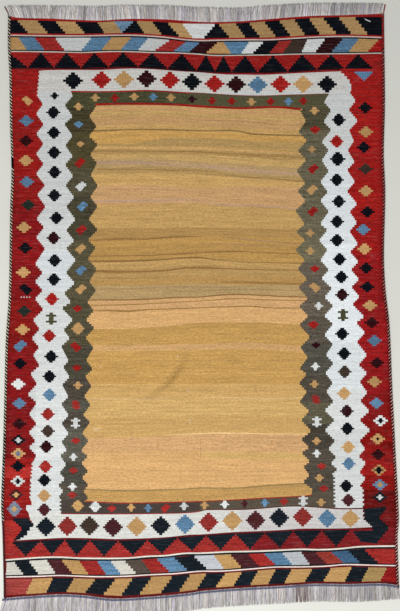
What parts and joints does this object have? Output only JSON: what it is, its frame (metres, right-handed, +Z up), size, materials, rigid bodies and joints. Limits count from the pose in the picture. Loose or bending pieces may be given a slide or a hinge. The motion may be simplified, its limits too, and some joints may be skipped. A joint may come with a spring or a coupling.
{
  "type": "flat-woven kilim rug",
  "caption": "Flat-woven wool kilim with a striped golden field, stepped and hexagonal borders, overcast sides and a fringe at each end, lying flat.",
  "frame": {"origin": "centre of the bounding box, on the floor face", "axes": "+X across the rug to the picture's right, +Y along the rug to the picture's top, +Z up from the floor"},
  "size_m": [1.6494, 2.5256, 0.005],
  "materials": {
    "woven_wool": "matt weft-faced wool, patterned",
    "selvedge_yarn": "matt two-colour overcast wool",
    "fringe_yarn": "matt undyed warp yarn"
  },
  "bodies": {
    "root": {"woven_panel": "woven_wool", "selvedge_left": "selvedge_yarn", "selvedge_right": "selvedge_yarn", "fringe_top": "fringe_yarn", "fringe_bottom": "fringe_yarn"}
  },
  "joints": []
}
